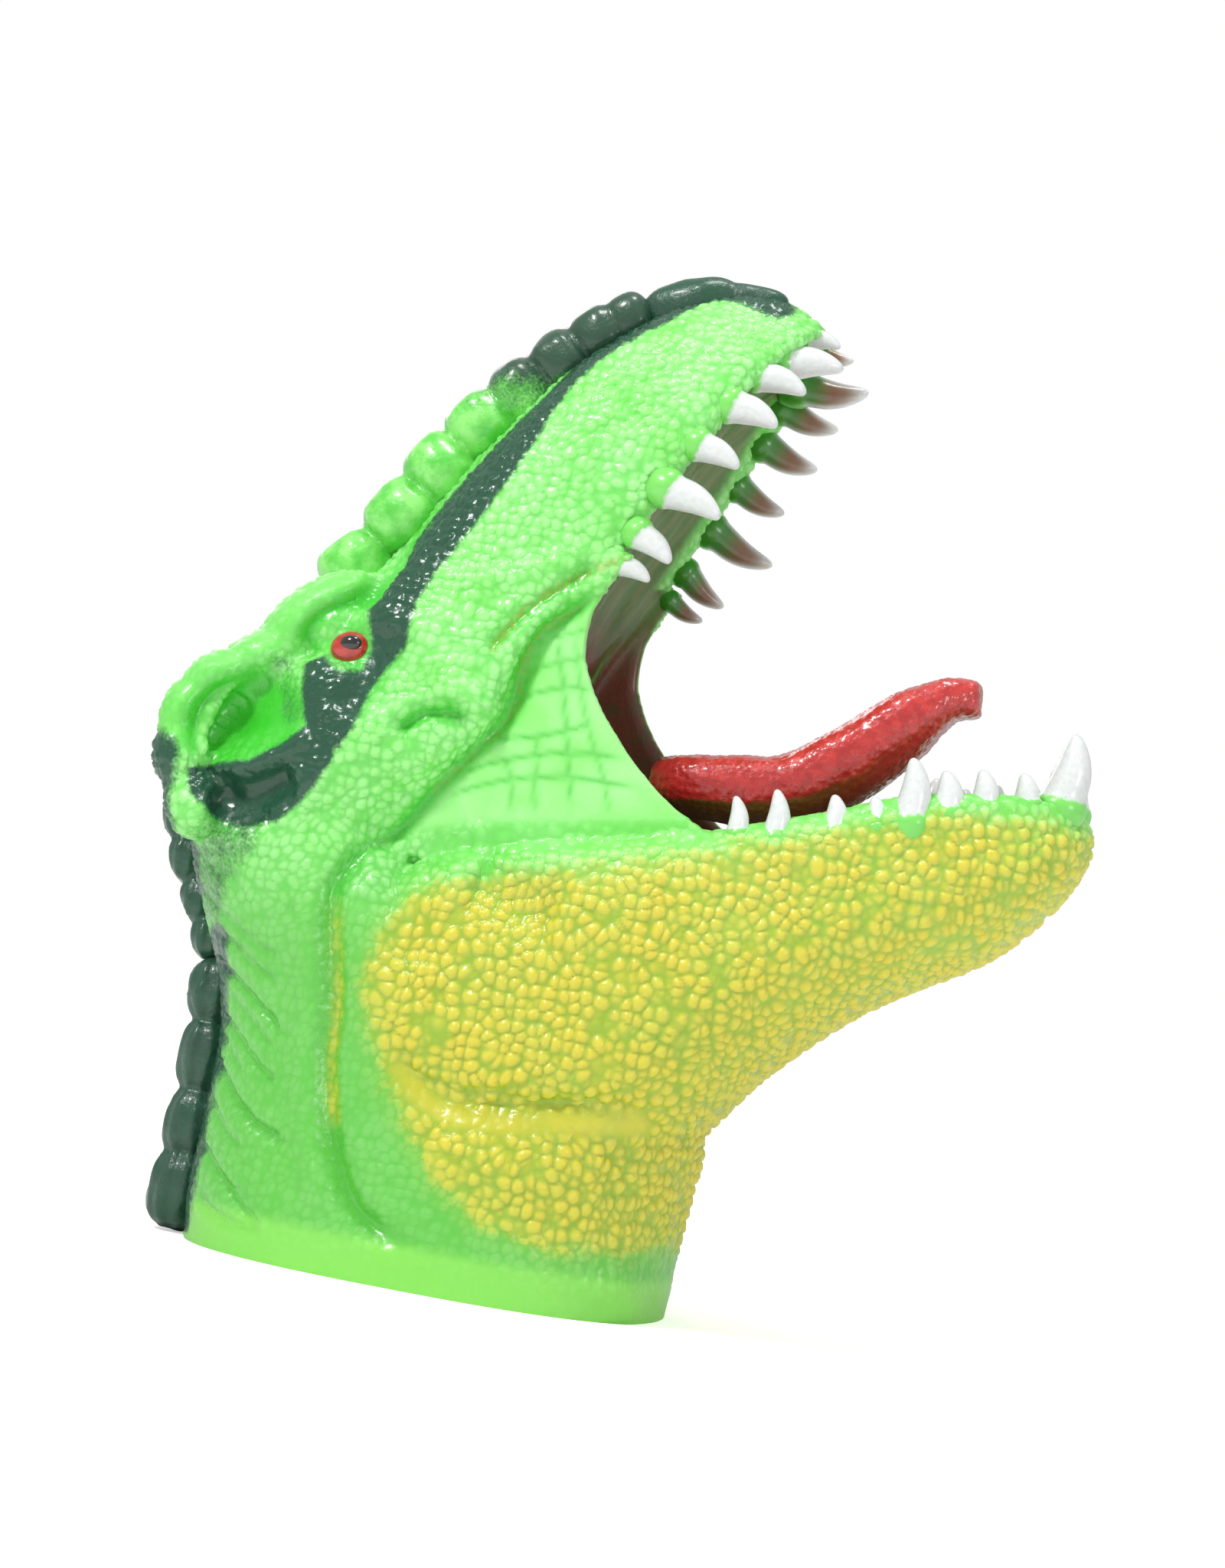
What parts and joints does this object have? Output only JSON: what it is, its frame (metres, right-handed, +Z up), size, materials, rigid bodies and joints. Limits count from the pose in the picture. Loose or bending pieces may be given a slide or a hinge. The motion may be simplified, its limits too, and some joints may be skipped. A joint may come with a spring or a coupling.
{
  "type": "moving mouth hand puppet",
  "caption": "Stretch-rubber dinosaur-head hand puppet: fingers work the hinged upper jaw, the thumb the lower jaw, with a flexible tongue.",
  "frame": {"origin": "centre of the hand opening, in the plane of the cuff's rim", "axes": "+X forward along the snout, +Y to the puppet's left, +Z up the forearm, away from the cuff"},
  "size_m": [0.1774, 0.078, 0.196],
  "materials": {
    "green_rubber": "glossy moulded rubber, pebbled",
    "yellow_rubber": "glossy pebbled rubber, yellow paint on the raised scales",
    "cuff_rubber": "smooth semi-gloss rubber",
    "web_rubber": "thin stretched glossy rubber with fine lines",
    "palate_rubber": "semi-gloss rubber, streaked lengthwise",
    "mouth_lining": "glossy red-brown painted rubber",
    "tongue_rubber": "glossy red painted rubber",
    "dark_scute": "glossy rubber painted dark green",
    "snout_scute": "glossy rubber, green with dark tint",
    "eye_red": "gloss red paint",
    "pupil_black": "high-gloss black paint",
    "tooth_white": "semi-gloss white paint"
  },
  "bodies": {
    "neck": {"neck_shell": "green_rubber", "cuff_band": "cuff_rubber", "nape_scutes_left": "dark_scute", "nape_scutes_right": "dark_scute", "nape_skin": "green_rubber", "throat_skin": "yellow_rubber", "cheek_web_left": "web_rubber", "cheek_web_right": "web_rubber", "throat_lining": "mouth_lining"},
    "upper_jaw": {"skull_shell": "green_rubber", "palate": "palate_rubber", "brow_left": "green_rubber", "brow_right": "green_rubber", "eye_left": "eye_red", "eye_right": "eye_red", "pupil_left": "pupil_black", "pupil_right": "pupil_black", "snout_scutes_left": "snout_scute", "snout_scutes_right": "snout_scute", "snout_plate_left": "dark_scute", "snout_plate_right": "dark_scute", "head_scutes": "dark_scute", "upper_tooth_left_1": "tooth_white", "upper_tooth_left_2": "tooth_white", "upper_tooth_left_3": "tooth_white", "upper_tooth_left_4": "tooth_white", "upper_tooth_left_5": "tooth_white", "upper_tooth_left_6": "tooth_white", "upper_tooth_left_7": "tooth_white", "upper_tooth_left_8": "tooth_white", "upper_tooth_right_1": "tooth_white", "upper_tooth_right_2": "tooth_white", "upper_tooth_right_3": "tooth_white", "upper_tooth_right_4": "tooth_white", "upper_tooth_right_5": "tooth_white", "upper_tooth_right_6": "tooth_white", "upper_tooth_right_7": "tooth_white", "upper_tooth_right_8": "tooth_white"},
    "lower_jaw": {"jaw_shell": "yellow_rubber", "mouth_floor": "mouth_lining", "lower_tooth_left_1": "tooth_white", "lower_tooth_left_2": "tooth_white", "lower_tooth_left_3": "tooth_white", "lower_tooth_left_4": "tooth_white", "lower_tooth_left_5": "tooth_white", "lower_tooth_left_6": "tooth_white", "lower_tooth_left_7": "tooth_white", "lower_tooth_left_8": "tooth_white", "lower_tooth_left_9": "tooth_white", "lower_tooth_right_1": "tooth_white", "lower_tooth_right_2": "tooth_white", "lower_tooth_right_3": "tooth_white", "lower_tooth_right_4": "tooth_white", "lower_tooth_right_5": "tooth_white", "lower_tooth_right_6": "tooth_white", "lower_tooth_right_7": "tooth_white", "lower_tooth_right_8": "tooth_white", "lower_tooth_right_9": "tooth_white"},
    "tongue_root": {"tongue_base": "tongue_rubber"},
    "tongue_end": {"tongue_tip": "tongue_rubber"}
  },
  "joints": [
    {"name": "upper_jaw_hinge", "type": "hinge", "parent": "neck", "child": "upper_jaw", "pos_m": [-0.012, 0, 0.08], "axis": [0, 1, 0], "range_deg": [-5, 24], "stiffness_Nm_per_rad": 2, "deforming": ["nape_skin", "throat_lining"]},
    {"name": "lower_jaw_hinge", "type": "hinge", "parent": "neck", "child": "lower_jaw", "pos_m": [-0.012, 0, 0.08], "axis": [0, -1, 0], "range_deg": [-6, 12], "stiffness_Nm_per_rad": 2, "deforming": ["throat_skin", "cheek_web_left", "cheek_web_right"]},
    {"name": "tongue_lift", "type": "hinge", "parent": "lower_jaw", "child": "tongue_root", "pos_m": [0.022, 0, 0.101], "axis": [0, -1, 0], "range_deg": [-6, 4], "stiffness_Nm_per_rad": 0.2},
    {"name": "tongue_curl", "type": "hinge", "parent": "tongue_root", "child": "tongue_end", "pos_m": [0.0588, 0, 0.1072], "axis": [0, -1, 0], "range_deg": [-9, 6], "stiffness_Nm_per_rad": 0.05}
  ],
  "couplings": [
    {"joint": "tongue_curl", "follows": "tongue_lift", "ratio": 1.5}
  ]
}
